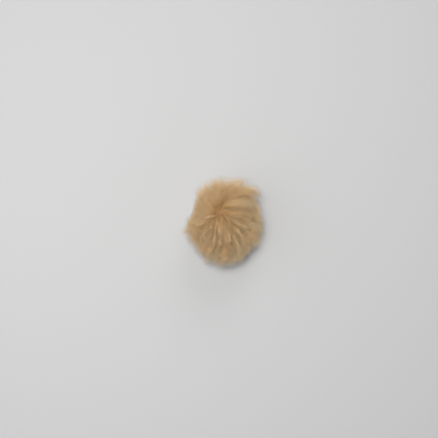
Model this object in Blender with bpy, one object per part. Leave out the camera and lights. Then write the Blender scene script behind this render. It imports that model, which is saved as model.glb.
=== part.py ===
"""A faux-fur pom pom, lying on the flat spot that its own weight presses.

It is one solid: the fur ball as far out as its pile reaches, with its main locks. The locks fan out from a whorl
near the top that is drawn out into a short parting, turn clockwise as seen from above, and overlap in rows like
thatch. A few tufts stand proud and make the outline uneven. The origin is the middle of the flat spot, +Z is up,
and sizes are in metres.
"""

import math

import bmesh
import bpy
import numpy as np
from mathutils import Matrix

# Overall size, over the tips of the pile.
WIDTH = 0.075  # along X
LENGTH = 0.082  # along Y
HEIGHT = 0.070  # along Z, as it rests
FLAT_SPOT_RADIUS = 0.0135

# The body of the ball, before locks and tufts are added, as half sizes about its middle.
BODY_HALF_WIDTH = 0.0312
BODY_HALF_LENGTH = 0.0346
BODY_HALF_HEIGHT = 0.0325

# The whorl is where the pile parts. Its axis leans from straight up towards an azimuth measured from +X.
WHORL_LEAN = math.radians(28)
WHORL_AZIMUTH = math.radians(116)
WHORL_TURN = math.radians(-72)  # how far a lock line turns about the axis on its way to the underside
# On one side of the whorl the lock lines turn less. Both angles are lock lines.
STRAIGHT_SIDE = math.radians(295)
STRAIGHT_HALF_WIDTH = math.radians(70)
STRAIGHT_SHARE = 0.40  # how much of the turn is missing in the middle of that side
# The whorl is drawn out into a parting, a short groove that the locks leave on both sides.
PARTING_RUN = math.radians(46)  # the way that it runs, as an azimuth about the whorl's axis
PARTING_HALF_LENGTH = math.radians(11)  # as seen from the ball's middle
PARTING_FADE = math.radians(60)  # angle from the whorl over which rings turn from ovals into circles
PARTING_DEPTH = 0.0018
PARTING_HALF_WIDTH = 0.0030

# The main locks. Every row has the same number of them, so they are narrow at the whorl and wide at the middle.
LOCKS_AROUND = 20
LOCK_TIP_START = 0.70  # share of a lock's length at which it stops rising and drops to its tip
LOCK_TAPER_START = 0.40  # share of a lock's length at which it starts to narrow
LOCK_TIP_WIDTH = 0.25  # of its full width
LIFT_UNEVENNESS = 0.30  # how much the lift of one lock may differ from its row's
LENGTH_UNEVENNESS = 0.13  # how much sooner or later one lock may end than its row
# Columns: angle from the whorl at the root, angle at the tip, lift at the tip, shift round the ball in locks.
LOCK_ROWS = (
    {"root": 4, "tip": 48, "lift": 0.0028, "shift": 0.0},
    {"root": 26, "tip": 74, "lift": 0.0036, "shift": 0.5},
    {"root": 52, "tip": 99, "lift": 0.0038, "shift": 0.1},
    {"root": 77, "tip": 124, "lift": 0.0036, "shift": 0.6},
    {"root": 102, "tip": 149, "lift": 0.0032, "shift": 0.2},
    {"root": 127, "tip": 172, "lift": 0.0024, "shift": 0.7},
)
# Lock lines wander sideways, so that no two locks are as wide. Columns: waves round the ball, waves from whorl to
# underside, size in degrees, start in degrees.
LOCK_WANDER = (
    {"around": 2, "down": 1.0, "size": 3.4, "start": 40},
    {"around": 3, "down": -1.5, "size": 2.8, "start": 200},
    {"around": 5, "down": 2.5, "size": 1.7, "start": 95},
    {"around": 7, "down": -3.0, "size": 1.1, "start": 310},
)
# Under the ball the pile is pressed smooth. It is fully so at the first height below the middle, not yet at the
# second, both in degrees.
PRESSED_FULLY = -66
PRESSED_NOT_YET = -38

# Tufts that stand proud. Columns: azimuth from +X, height above the middle, both in degrees, reach beyond the
# locks, and spread in degrees.
TUFTS = (
    {"azimuth": 42, "height": 3, "reach": 0.0066, "spread": 9},
    {"azimuth": 62, "height": 8, "reach": 0.0046, "spread": 12},
    {"azimuth": 106, "height": 3, "reach": 0.0032, "spread": 13},
    {"azimuth": 129, "height": -4, "reach": 0.0036, "spread": 10},
    {"azimuth": 195, "height": 3, "reach": 0.0056, "spread": 13},
    {"azimuth": 240, "height": -2, "reach": 0.0018, "spread": 15},
    {"azimuth": 270, "height": -2, "reach": 0.0012, "spread": 12},
    {"azimuth": 292, "height": 4, "reach": 0.0014, "spread": 10},
    {"azimuth": 331, "height": 4, "reach": 0.0034, "spread": 12},
    {"azimuth": 351, "height": -6, "reach": 0.0028, "spread": 11},
    {"azimuth": 18, "height": -30, "reach": 0.0026, "spread": 14},
    {"azimuth": 160, "height": -28, "reach": 0.0024, "spread": 14},
    {"azimuth": 300, "height": -30, "reach": 0.0024, "spread": 14},
)

# The grid that the surface is drawn on: rings run round the whorl's axis, columns run along the lock lines.
RINGS = 60
COLUMNS_PER_LOCK = 4
SEED = 7

SMOOTH_ANGLE = math.radians(50)
FUR_COLOUR = (0.386, 0.258, 0.133, 1.0)  # linear camel
FUR_ROUGHNESS = 0.9


def whorl_frame():
    """The turn that carries +Z onto the whorl's axis."""
    return (
        Matrix.Rotation(WHORL_AZIMUTH, 3, "Z")
        @ Matrix.Rotation(WHORL_LEAN, 3, "Y")
        @ Matrix.Rotation(-WHORL_AZIMUTH, 3, "Z")
    )


def direction(azimuth_degrees, height_degrees):
    """The unit vector at this azimuth from +X and this height above the middle."""
    azimuth, height = math.radians(azimuth_degrees), math.radians(height_degrees)
    return np.array(
        [
            math.cos(azimuth) * math.cos(height),
            math.sin(azimuth) * math.cos(height),
            math.sin(height),
        ]
    )


def smooth_step(share):
    """Eases a share from 0 to 1, level at both ends."""
    share = np.clip(share, 0.0, 1.0)
    return share * share * (3.0 - 2.0 * share)


def body_radius(towards):
    """Distance from the middle to the body's ellipsoid along each unit vector."""
    halves = np.array([BODY_HALF_WIDTH, BODY_HALF_LENGTH, BODY_HALF_HEIGHT])
    return 1.0 / np.linalg.norm(towards / halves, axis=-1)


def wander(from_whorl, lock_line):
    """How far round the axis each lock line lies from its even place."""
    aside = np.zeros_like(from_whorl)
    for wave in LOCK_WANDER:
        phase = wave["around"] * lock_line + wave["down"] * from_whorl + math.radians(wave["start"])
        aside += math.radians(wave["size"]) * np.sin(phase)
    return aside


def row_lift(row, from_whorl, lock_line, random):
    """Height of one row of locks. A lock rises along its length, is round across, and narrows to its tip."""
    lifts = row["lift"] * (1.0 + LIFT_UNEVENNESS * random.uniform(-1.0, 1.0, LOCKS_AROUND))
    delays = LENGTH_UNEVENNESS * random.uniform(-1.0, 1.0, LOCKS_AROUND)
    across = lock_line * LOCKS_AROUND / math.tau + row["shift"]
    lock = np.floor(across).astype(int) % LOCKS_AROUND
    root, tip = math.radians(row["root"]), math.radians(row["tip"])
    along = (from_whorl - root) / (tip - root) - delays[lock]
    aside = np.abs(across - np.floor(across) - 0.5) * 2.0
    narrowing = smooth_step((along - LOCK_TAPER_START) / (1.0 - LOCK_TAPER_START))
    half_width = 1.0 - (1.0 - LOCK_TIP_WIDTH) * narrowing
    profile = np.clip(1.0 - (aside / half_width) ** 2, 0.0, 1.0)
    rise = np.clip(along / LOCK_TIP_START, 0.0, 1.0)
    drop = 1.0 - smooth_step((along - LOCK_TIP_START) / (1.0 - LOCK_TIP_START))
    return lifts[lock] * rise * drop * profile


def locks_lift(from_whorl, lock_line):
    """The outermost of all rows of locks, each of which overlaps the root of the next."""
    random = np.random.default_rng(SEED)
    found = np.zeros_like(from_whorl)
    for row in LOCK_ROWS:
        found = np.maximum(found, row_lift(row, from_whorl, lock_line, random))
    return found


def tufts_reach(towards):
    """How far the tufts stand out beyond the locks, as a round bump for each."""
    found = np.zeros(towards.shape[:-1])
    for tuft in TUFTS:
        cosine = towards @ direction(tuft["azimuth"], tuft["height"])
        apart = np.arccos(np.clip(cosine, -1.0, 1.0)) / math.radians(tuft["spread"])
        found += tuft["reach"] * np.exp(-(apart**2))
    return found


def parting_depth(from_whorl):
    """Depth of the groove, which every ring goes round at the same distance on both sides."""
    return PARTING_DEPTH * np.exp(-((from_whorl * BODY_HALF_HEIGHT / PARTING_HALF_WIDTH) ** 2))


def pressed_share(towards):
    """1 where the ball's weight presses the pile smooth, 0 from a little higher up."""
    height = np.degrees(np.arcsin(np.clip(towards[..., 2], -1.0, 1.0)))
    return smooth_step((PRESSED_NOT_YET - height) / (PRESSED_NOT_YET - PRESSED_FULLY))


def turn(from_whorl, lock_line):
    """How far round the axis each lock line has turned at this angle from the whorl."""
    off = (lock_line - STRAIGHT_SIDE + math.pi) % math.tau - math.pi
    straight = STRAIGHT_SHARE * np.exp(-((off / STRAIGHT_HALF_WIDTH) ** 2))
    return WHORL_TURN * from_whorl / math.pi * (1.0 - straight)


def lock_directions(from_whorl, lock_line):
    """Unit vectors along the lock lines.

    A ring at the angle a from the whorl is an oval with the half axes sqrt(a^2 + p^2) along the parting and a across
    it, where p is the parting's half length and fades away from the whorl. The first ring is only its middle.
    """
    around = lock_line + wander(from_whorl, lock_line) + turn(from_whorl, lock_line) - PARTING_RUN
    half = PARTING_HALF_LENGTH * np.exp(-((from_whorl / PARTING_FADE) ** 2)) * (from_whorl > 0.0)
    along = np.sqrt(from_whorl**2 + half**2) * np.cos(around)
    across = from_whorl * np.sin(around)
    angle = np.hypot(along, across)
    level = np.sinc(angle / math.pi)
    run, aside = math.cos(PARTING_RUN), math.sin(PARTING_RUN)
    x, y = along * run - across * aside, along * aside + across * run
    return np.stack([level * x, level * y, np.cos(angle)], axis=-1) @ np.array(whorl_frame()).T


def surface_points(rings, columns):
    """Points of the fur's reach, about the ball's middle, for each ring and column of the grid."""
    from_whorl = np.linspace(0.0, math.pi, rings + 1)[:, None] * np.ones(columns)
    lock_line = np.ones((rings + 1, 1)) * np.arange(columns) * math.tau / columns
    towards = lock_directions(from_whorl, lock_line)
    loose = 1.0 - pressed_share(towards)
    reach = body_radius(towards) + loose * locks_lift(from_whorl, lock_line)
    reach += loose * tufts_reach(towards) - parting_depth(from_whorl)
    return towards * reach[..., None]


def grid_faces(rings, columns):
    """Faces between the points that closed_points lists: two fans at the poles and quads between the rings."""
    last = 1 + (rings - 1) * columns
    faces = []
    for column in range(columns):
        after = (column + 1) % columns
        faces.append((0, 1 + column, 1 + after))
        for ring in range(rings - 2):
            first = 1 + ring * columns
            below = first + columns
            faces.append((first + column, below + column, below + after, first + after))
        edge = last - columns
        faces.append((last, edge + after, edge + column))
    return faces


def closed_points(grid):
    """The grid's points as one list, with each pole once."""
    inner = grid[1:-1].reshape(-1, 3)
    return np.concatenate([grid[:1, 0], inner, grid[-1:, 0]])


def sized(points):
    """Scales the points to the overall size, with the bottom so low that the cut at 0 leaves the flat spot."""
    low, high = points.min(axis=0), points.max(axis=0)
    spot = FLAT_SPOT_RADIUS / (0.25 * (WIDTH + LENGTH))
    half_height = HEIGHT / (1.0 + math.sqrt(1.0 - spot * spot))
    wanted = np.array([WIDTH, LENGTH, 2.0 * half_height])
    points = (points - (low + high) / 2.0) * wanted / (high - low)
    return points + np.array([0.0, 0.0, HEIGHT - half_height])


def rest_on_flat_spot(mesh):
    """Cuts the mesh at the surface that it rests on and closes it with one flat face."""
    shape = bmesh.new()
    shape.from_mesh(mesh)
    cut = bmesh.ops.bisect_plane(
        shape,
        geom=shape.verts[:] + shape.edges[:] + shape.faces[:],
        dist=1e-7,
        plane_co=(0.0, 0.0, 0.0),
        plane_no=(0.0, 0.0, -1.0),
        clear_outer=True,
    )
    rim = [item for item in cut["geom_cut"] if isinstance(item, bmesh.types.BMEdge)]
    bmesh.ops.contextual_create(shape, geom=rim)
    bmesh.ops.recalc_face_normals(shape, faces=shape.faces)
    shape.to_mesh(mesh)
    shape.free()


def fur_material():
    """Camel pile: matt, with no metal in it."""
    material = bpy.data.materials.new("camel_pile")
    material.use_nodes = True
    shader = material.node_tree.nodes["Principled BSDF"]
    shader.inputs["Base Color"].default_value = FUR_COLOUR
    shader.inputs["Roughness"].default_value = FUR_ROUGHNESS
    shader.inputs["Metallic"].default_value = 0.0
    return material


def build_fur_ball():
    """The pom pom as one closed solid, standing at the origin."""
    columns = LOCKS_AROUND * COLUMNS_PER_LOCK
    points = sized(closed_points(surface_points(RINGS, columns)))
    mesh = bpy.data.meshes.new("fur_ball")
    mesh.from_pydata(points.tolist(), [], grid_faces(RINGS, columns))
    rest_on_flat_spot(mesh)
    mesh.materials.append(fur_material())
    mesh.shade_smooth()
    mesh.set_sharp_from_angle(angle=SMOOTH_ANGLE)
    ball = bpy.data.objects.new("fur_ball", mesh)
    bpy.context.scene.collection.objects.link(ball)
    return ball


def main():
    for thing in list(bpy.data.objects):
        bpy.data.objects.remove(thing)
    build_fur_ball()


main()
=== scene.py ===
"""Looks of a camel faux-fur pom pom that lies on pale paper.

The ball's long pile starts at a dense undercoat, parts at a whorl near the top and sweeps round and outwards in
rows of locks that end in loose tips. Every strand is a closed tapering sliver, drawn by whole-array formulas:

* a direction on the ball is given by its angle from the whorl's axis and by a lock line that winds round that axis;
* along a strand both change slowly while the radius grows from the undercoat to the reach of the solid ball;
* strands of one lock start apart and end together, and so do the locks of one tuft.
"""

from __future__ import annotations

import logging
import math
from abc import ABC, abstractmethod
from dataclasses import dataclass, field
from enum import Enum
from typing import Any, Sequence

import bpy
import numpy as np
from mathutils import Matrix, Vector
from mathutils.bvhtree import BVHTree


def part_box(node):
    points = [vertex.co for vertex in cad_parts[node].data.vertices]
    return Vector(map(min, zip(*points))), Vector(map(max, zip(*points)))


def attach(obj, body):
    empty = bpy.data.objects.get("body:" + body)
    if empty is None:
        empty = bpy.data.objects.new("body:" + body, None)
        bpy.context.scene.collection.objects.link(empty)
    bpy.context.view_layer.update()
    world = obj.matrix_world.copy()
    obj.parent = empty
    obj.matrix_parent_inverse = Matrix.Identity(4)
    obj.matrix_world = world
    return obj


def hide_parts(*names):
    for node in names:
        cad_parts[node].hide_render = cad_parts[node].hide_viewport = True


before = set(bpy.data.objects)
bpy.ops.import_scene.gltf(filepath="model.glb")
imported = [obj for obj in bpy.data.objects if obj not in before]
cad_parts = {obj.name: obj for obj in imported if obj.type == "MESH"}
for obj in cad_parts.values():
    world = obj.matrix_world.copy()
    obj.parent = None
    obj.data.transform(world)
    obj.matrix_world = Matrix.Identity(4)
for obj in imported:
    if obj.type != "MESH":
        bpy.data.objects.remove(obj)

LOG = logging.getLogger("pom_pom")
MM = 0.001
NODE = "fur_ball"
BODY = "root"
MIX_FACTOR, MIX_A, MIX_B, MIX_RESULT = 0, 6, 7, 2  # sockets of a Mix node that mixes colours
PILE_MAP = "OFBake"  # the strands' UV map: tone across, root to tip along
NO_LENGTH = 1e-12
ROOT_SHARE = 0.98  # of the undercoat's radius, at which strands start
LEAST_CLIMB = 1.0 * MM  # from a strand's root to its tip
LAST_ANGLE = math.radians(178.0)  # from the whorl, so that no strand crosses the far pole
THICKNESSES = (0.75, 1.25)  # thinnest and thickest strand, as shares of their layer's own

Array = np.ndarray
Colour = tuple[float, float, float, float]


# Small tools
# -----------


def linear(hex_colour: str) -> Colour:
    """Turns an sRGB hex colour into linear light.

    Args:
        hex_colour: Six hex digits, such as "a88b66".

    Returns:
        Red, green, blue and an alpha of 1.
    """
    shares = [int(hex_colour[i : i + 2], 16) / 255.0 for i in (0, 2, 4)]
    light = [s / 12.92 if s <= 0.04045 else ((s + 0.055) / 1.055) ** 2.4 for s in shares]
    return (light[0], light[1], light[2], 1.0)


def add_node(
    tree: bpy.types.NodeTree,
    kind: str,
    settings: dict[str, Any] | None = None,
    inputs: dict[int | str, Any] | None = None,
    stops: Sequence[tuple[float, str | Colour]] = (),
) -> bpy.types.Node:
    """Adds one node with its settings, its input values or links, and its ramp's stops.

    Args:
        tree: The node tree it goes into.
        kind: The node's Blender type.
        settings: Values of the node's own properties.
        inputs: For each input, a value, or the output socket that it is linked to.
        stops: Place of each stop and its colour, as sRGB hex or in linear light, for a node with a colour ramp.

    Returns:
        The new node.
    """
    node = tree.nodes.new(kind)
    for name, value in (settings or {}).items():
        setattr(node, name, value)
    for key, value in (inputs or {}).items():
        if isinstance(value, bpy.types.NodeSocket):
            tree.links.new(value, node.inputs[key])
        else:
            node.inputs[key].default_value = value
    for place, (position, colour) in enumerate(stops):
        elements = node.color_ramp.elements
        element = elements[place] if place < 2 else elements.new(position)
        element.position = position
        element.color = linear(colour) if isinstance(colour, str) else colour
    return node


def new_material(name: str) -> tuple[bpy.types.Material, bpy.types.NodeTree, bpy.types.Node]:
    """Makes an empty node material.

    Args:
        name: The material's name.

    Returns:
        The material, its node tree and its output node.
    """
    material = bpy.data.materials.new(name)
    material.use_nodes = True
    tree = material.node_tree
    tree.nodes.clear()
    return material, tree, tree.nodes.new("ShaderNodeOutputMaterial")


def unit(vectors: Array) -> Array:
    """Scales each vector to length 1, apart from one with no length."""
    return vectors / np.maximum(np.linalg.norm(vectors, axis=-1, keepdims=True), NO_LENGTH)


def beside(towards: Array, sideways: Array, ahead: Array) -> Array:
    """Shifts paths over the unit ball.

    At each point the path's own direction and the direction square to it in the surface carry the two shifts, and
    the sum is scaled back to length 1.

    Args:
        towards: Unit vectors along each path, as strand, point, XYZ.
        sideways: Shift to the left of the path, in radians, as strand, point.
        ahead: Shift along the path, in radians, as strand, point.

    Returns:
        The shifted unit vectors.
    """
    along = unit(np.gradient(towards, axis=1))
    across = np.cross(towards, along)
    return unit(towards + sideways[..., None] * across + ahead[..., None] * along)


def apart_from(azimuth: Array, middle_deg: float) -> Array:
    """Gives how far azimuths in radians lie from a middle one in degrees, from -pi to pi."""
    return (azimuth - math.radians(middle_deg) + math.pi) % math.tau - math.pi


def fading(off: Array, half_width_deg: float, power: int = 2) -> Array:
    """Gives exp(-(off / half width)^power) for angles in radians: 1 in the middle, less to either side."""
    return np.exp(-((off / math.radians(half_width_deg)) ** power))


def direction(azimuth_deg: float, height_deg: float) -> Array:
    """Gives the unit vector (cos a cos h, sin a cos h, sin h).

    Args:
        azimuth_deg: Azimuth a from +X, in degrees.
        height_deg: Height h above the horizon, in degrees.

    Returns:
        The vector.
    """
    azimuth, height = math.radians(azimuth_deg), math.radians(height_deg)
    level = math.cos(height)
    return np.array([math.cos(azimuth) * level, math.sin(azimuth) * level, math.sin(height)])


def mesh_object(
    name: str,
    vertices: Array,
    corners: Array,
    face_sizes: Array,
    uv_name: str | None = None,
    uvs: Array | None = None,
) -> bpy.types.Object:
    """Puts whole arrays into a smooth-shaded mesh at the origin.

    Args:
        name: The object's name.
        vertices: Places, one row for each vertex.
        corners: Vertex numbers of all faces, one after the other.
        face_sizes: Number of corners of each face.
        uv_name: Name of a UV map, if there is one.
        uvs: Its values, one row for each corner.

    Returns:
        The object, linked to the scene.
    """
    mesh = bpy.data.meshes.new(name)
    mesh.vertices.add(len(vertices))
    mesh.vertices.foreach_set("co", vertices.astype(np.float32).ravel())
    mesh.loops.add(len(corners))
    mesh.loops.foreach_set("vertex_index", corners.astype(np.int32))
    mesh.polygons.add(len(face_sizes))
    starts = np.concatenate([[0], np.cumsum(face_sizes)[:-1]])
    mesh.polygons.foreach_set("loop_start", starts.astype(np.int32))
    mesh.update(calc_edges=True)
    mesh.shade_smooth()
    if uv_name is not None:
        layer = mesh.uv_layers.new(name=uv_name)
        layer.data.foreach_set("uv", uvs.astype(np.float32).ravel())
    mesh.validate()
    piece = bpy.data.objects.new(name, mesh)
    bpy.context.scene.collection.objects.link(piece)
    return piece


# The form that the pile follows
# ------------------------------


@dataclass(frozen=True)
class Whorl:
    """The place near the top where the pile parts, and the way that it sweeps from there.

    A lock line keeps its number while it winds round the axis: its azimuth about the axis is its number plus a
    wander, plus a turn that grows in step with the angle from the axis.
    """

    lean_deg: float = 28.0
    azimuth_deg: float = 116.0
    turn_deg: float = -72.0  # from the whorl to the far side; minus is clockwise seen from above
    straight_azimuth_deg: float = 295.0  # the side where the pile hardly turns
    straight_half_width_deg: float = 70.0
    straight_share: float = 0.40
    parting_deg: float = 46.0  # way that the parting runs, in the whorl's own azimuth
    parting_half_length_deg: float = 11.0
    parting_fade_deg: float = 60.0  # angle over which the rings round the parting turn from ovals into circles
    fluffed_azimuth_deg: float = 150.0  # the side where the strands stand apart and form no wisps
    fluffed_half_width_deg: float = 88.0
    wander: tuple[tuple[int, float, float, float], ...] = (
        # waves round the ball, waves from whorl to far side, size in degrees, start in degrees
        (2, 1.0, 3.4, 40.0),
        (3, -1.5, 2.8, 200.0),
        (5, 2.5, 1.7, 95.0),
        (7, -3.0, 1.1, 310.0),
    )

    def axes(self) -> Array:
        """Turns the set's axes about a level hinge until +Z leans towards the azimuth.

        Returns:
            The whorl's own X, Y and Z as the columns of a rotation.
        """
        lean, azimuth = math.radians(self.lean_deg), math.radians(self.azimuth_deg)
        z = direction(self.azimuth_deg, 90.0 - self.lean_deg)
        hinge = np.array([-math.sin(azimuth), math.cos(azimuth), 0.0])
        start = np.array([1.0, 0.0, 0.0])
        x = (
            start * math.cos(lean)
            + np.cross(hinge, start) * math.sin(lean)
            + hinge * (hinge @ start) * (1.0 - math.cos(lean))
        )
        return np.stack([x, np.cross(z, x), z], axis=1)

    def directions(self, from_whorl: Array, lock_line: Array, parted: float = 1.0) -> Array:
        """Gives the unit vector of each point.

        The whorl is drawn out into a parting. A ring at the angle a becomes an oval whose half axes are
        sqrt(a^2 + p^2) along the parting and a across it, where p is the parting's half length and fades away from
        the whorl, so that lock lines leave the parting square to it and are even further out.

        Args:
            from_whorl: Angle to the axis, in radians; below 0 a path starts beyond the parting.
            lock_line: Lock line, in radians.
            parted: Share of the parting's length; 0 leaves round rings that meet in one point.

        Returns:
            Unit vectors, with XYZ as the last axis.
        """
        around = lock_line + np.zeros_like(from_whorl)
        aside = np.zeros_like(around)
        for waves, down, size_deg, start_deg in self.wander:
            phase = waves * lock_line + down * from_whorl + math.radians(start_deg)
            aside = aside + math.radians(size_deg) * np.sin(phase)
        off = apart_from(lock_line, self.straight_azimuth_deg)
        straight = self.straight_share * fading(off, self.straight_half_width_deg)
        turn = math.radians(self.turn_deg) * from_whorl / math.pi * (1.0 - straight)
        around = around + aside + turn
        line = math.radians(self.parting_deg)
        half = parted * math.radians(self.parting_half_length_deg) * fading(from_whorl, self.parting_fade_deg)
        along = np.sqrt(from_whorl**2 + half**2) * np.cos(around - line)
        across = from_whorl * np.sin(around - line)
        angle = np.hypot(along, across)
        level = np.sinc(angle / math.pi)
        x = along * math.cos(line) - across * math.sin(line)
        y = along * math.sin(line) + across * math.cos(line)
        return np.stack([level * x, level * y, np.cos(angle)], axis=-1) @ self.axes().T

    def even(self, from_whorl: Array) -> Array:
        """Turns the angle of a round ring into the angle a of the oval with the same area.

        With p the parting's half length, a sqrt(a^2 + p^2) is the square of the round ring's angle.

        Args:
            from_whorl: The round ring's angle to the axis, in radians.

        Returns:
            The oval's angle, in radians.
        """
        half = math.radians(self.parting_half_length_deg)
        return np.sqrt(0.5 * (np.sqrt(half**4 + 4.0 * from_whorl**4) - half**2))

    def beyond(self, lock_line: Array) -> Array:
        """Gives how far each lock line may start beyond the parting: 0 at its ends and 1 square to it."""
        return np.abs(np.sin(lock_line - math.radians(self.parting_deg)))

    def fluffed(self, lock_line: Array) -> Array:
        """Gives 1 on the fluffed side, which is broad and fades quickly at its ends."""
        return fading(apart_from(lock_line, self.fluffed_azimuth_deg), self.fluffed_half_width_deg, power=4)

    def polar(self, directions: Array) -> tuple[Array, Array]:
        """Gives the angle to the axis and the azimuth about it of each unit vector, without any turn."""
        local = directions @ self.axes()
        return np.arccos(np.clip(local[..., 2], -1.0, 1.0)), np.arctan2(local[..., 1], local[..., 0]) % math.tau


class ReachMap:
    """How far the solid ball reaches from its middle in every direction.

    The solid is met by rays from the middle on an even grid of angle and azimuth about the whorl's axis. A look-up
    blends the four nearest rays, and a blurred copy leaves out the small relief of the locks.
    """

    rings: int = 121  # grid rows from the axis to the far side
    columns: int = 240  # grid columns round the axis
    blur_steps: int = 28

    def __init__(self, node: str, whorl: Whorl, middle: Array) -> None:
        """Meets the solid with rays.

        Args:
            node: The solid's name.
            whorl: The axis that the grid is drawn about.
            middle: The point that the rays start from.
        """
        self.whorl = whorl
        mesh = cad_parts[node].data
        places = np.empty(len(mesh.vertices) * 3, dtype=np.float32)
        mesh.vertices.foreach_get("co", places)
        tree = BVHTree.FromPolygons(places.reshape(-1, 3).tolist(), [tuple(p.vertices) for p in mesh.polygons])
        angles = np.linspace(0.0, math.pi, self.rings)[:, None] * np.ones(self.columns)
        azimuths = np.ones((self.rings, 1)) * np.arange(self.columns) * math.tau / self.columns
        local = [np.sin(angles) * np.cos(azimuths), np.sin(angles) * np.sin(azimuths), np.cos(angles)]
        rays = (np.stack(local, axis=-1) @ whorl.axes().T).reshape(-1, 3)
        start = Vector(middle)
        found = [tree.ray_cast(start, Vector(ray))[3] for ray in rays]
        self.sharp = np.array(found, dtype=float).reshape(self.rings, self.columns)
        self.smooth = self._blurred()

    def _blurred(self) -> Array:
        """Averages the grid with its neighbours again and again, and the poles' rows all round.

        Returns:
            The blurred copy.
        """
        grid = self.sharp.copy()
        for _ in range(self.blur_steps):
            padded = np.concatenate([grid[:1], grid, grid[-1:]])
            grid = 0.5 * grid + 0.25 * (padded[:-2] + padded[2:])
            grid = 0.5 * grid + 0.25 * (np.roll(grid, 1, axis=1) + np.roll(grid, -1, axis=1))
            grid[0], grid[-1] = grid[0].mean(), grid[-1].mean()
        return grid

    def look_up(self, directions: Array, sharpness: float) -> Array:
        """Gives the reach in each direction.

        Args:
            directions: Unit vectors.
            sharpness: 1 for the solid itself, 0 for the blurred copy.

        Returns:
            Distances from the middle, in metres.
        """
        grid = self.sharp * sharpness + self.smooth * (1.0 - sharpness)
        angle, azimuth = self.whorl.polar(directions)
        row = np.clip(angle / math.pi * (self.rings - 1), 0.0, self.rings - 1.001)  # just short of the last row
        column = azimuth / math.tau * self.columns
        r0, c0 = np.floor(row).astype(int), np.floor(column).astype(int)
        down, right = row - r0, column - c0
        c0, c1 = c0 % self.columns, (c0 + 1) % self.columns
        upper = grid[r0, c0] * (1.0 - right) + grid[r0, c1] * right
        lower = grid[r0 + 1, c0] * (1.0 - right) + grid[r0 + 1, c1] * right
        return upper * (1.0 - down) + lower * down


@dataclass(frozen=True)
class BallForm:
    """The ball's shape as the pile needs it: the whorl, the reach and how deep the undercoat lies."""

    whorl: Whorl
    reach: ReachMap
    middle: Array
    undercoat_share: float = 0.56  # of the reach, over most of the ball
    undercoat_at_whorl: float = 0.85  # so that no pit opens where the pile parts
    whorl_half_width_deg: float = 24.0
    farthest: float = 1.15  # of the reach, for the longest strands
    farthest_at_whorl: float = 0.99  # so that no tip stands up where the pile parts
    low_half_width_deg: float = 32.0  # of the place where they stay low
    flat_sides: tuple[tuple[float, float, float], ...] = (
        # azimuth and half width in degrees of a side where the pile lies close, and how much less far it reaches
        (157.0, 20.0, 0.16),
        (311.0, 14.0, 0.09),
    )
    floor_bend: float = 0.5 * MM
    lowest: float = 0.15 * MM

    def undercoat(self, directions: Array) -> Array:
        """Gives the undercoat's radius: a share of the blurred reach that rises towards the whorl.

        Args:
            directions: Unit vectors from the ball's middle.

        Returns:
            The radius in each direction.
        """
        angle, _ = self.whorl.polar(directions)
        near = fading(angle, self.whorl_half_width_deg)
        share = self.undercoat_share + (self.undercoat_at_whorl - self.undercoat_share) * near
        return share * self.reach.look_up(directions, 0.0)

    def capped(self, share: Array, directions: Array) -> Array:
        """Limits shares of the reach to the farthest one, which falls towards the whorl and on the flat sides.

        Args:
            share: Shares of the reach.
            directions: Unit vectors from the ball's middle.

        Returns:
            The limited shares.
        """
        angle, _ = self.whorl.polar(directions)
        near = fading(angle, self.low_half_width_deg)
        limit = self.farthest + (self.farthest_at_whorl - self.farthest) * near
        azimuth = np.arctan2(directions[..., 1], directions[..., 0])
        for middle_deg, half_width_deg, less in self.flat_sides:
            limit = limit - less * (1.0 - near) * fading(apart_from(azimuth, middle_deg), half_width_deg)
        return np.minimum(share, limit)

    @property
    def radius(self) -> float:
        """The ball's mean radius."""
        return float(self.reach.smooth.mean())

    def placed(self, towards: Array, inner: Array, outer: Array, climb: Array) -> Array:
        """Gives the places along strands that climb from the inner radius to the outer one.

        Args:
            towards: Unit vectors along each path, as strand, point, XYZ.
            inner: Radius at the root, as strand, point.
            outer: Radius at the tip, as strand, point.
            climb: Share of the way from one to the other at each point.

        Returns:
            Places above the floor, as strand, point, XYZ.
        """
        return self.above_floor(self.middle + towards * (inner + (outer - inner) * climb)[..., None])

    def grown(self, towards: Array, sharpness: float, share: Array, climb: Array) -> Array:
        """Gives the places along strands that grow from just under the undercoat to a share of the reach.

        Args:
            towards: Unit vectors along each path, as strand, point, XYZ.
            sharpness: How closely the tips follow the locks of the solid.
            share: Share of the reach that each strand comes to.
            climb: Share of the way from root to tip at each point.

        Returns:
            Places above the floor, as strand, point, XYZ.
        """
        inner = self.undercoat(towards) * ROOT_SHARE
        outer = self.reach.look_up(towards, sharpness) * self.capped(share, towards)
        return self.placed(towards, inner, np.maximum(outer, inner + LEAST_CLIMB), climb)

    def above_floor(self, points: Array) -> Array:
        """Keeps points above the surface that the ball rests on.

        With s the height over which the bend happens, each height z becomes (z + sqrt(z^2 + s^2)) / 2 plus the
        height of the lowest strands, which is never below the surface.

        Args:
            points: Places, the last axis being X, Y, Z.

        Returns:
            The lifted places.
        """
        lifted = points.copy()
        height = points[..., 2]
        lifted[..., 2] = 0.5 * (height + np.sqrt(height * height + self.floor_bend * self.floor_bend)) + self.lowest
        return lifted


# Finishes
# --------


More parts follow.
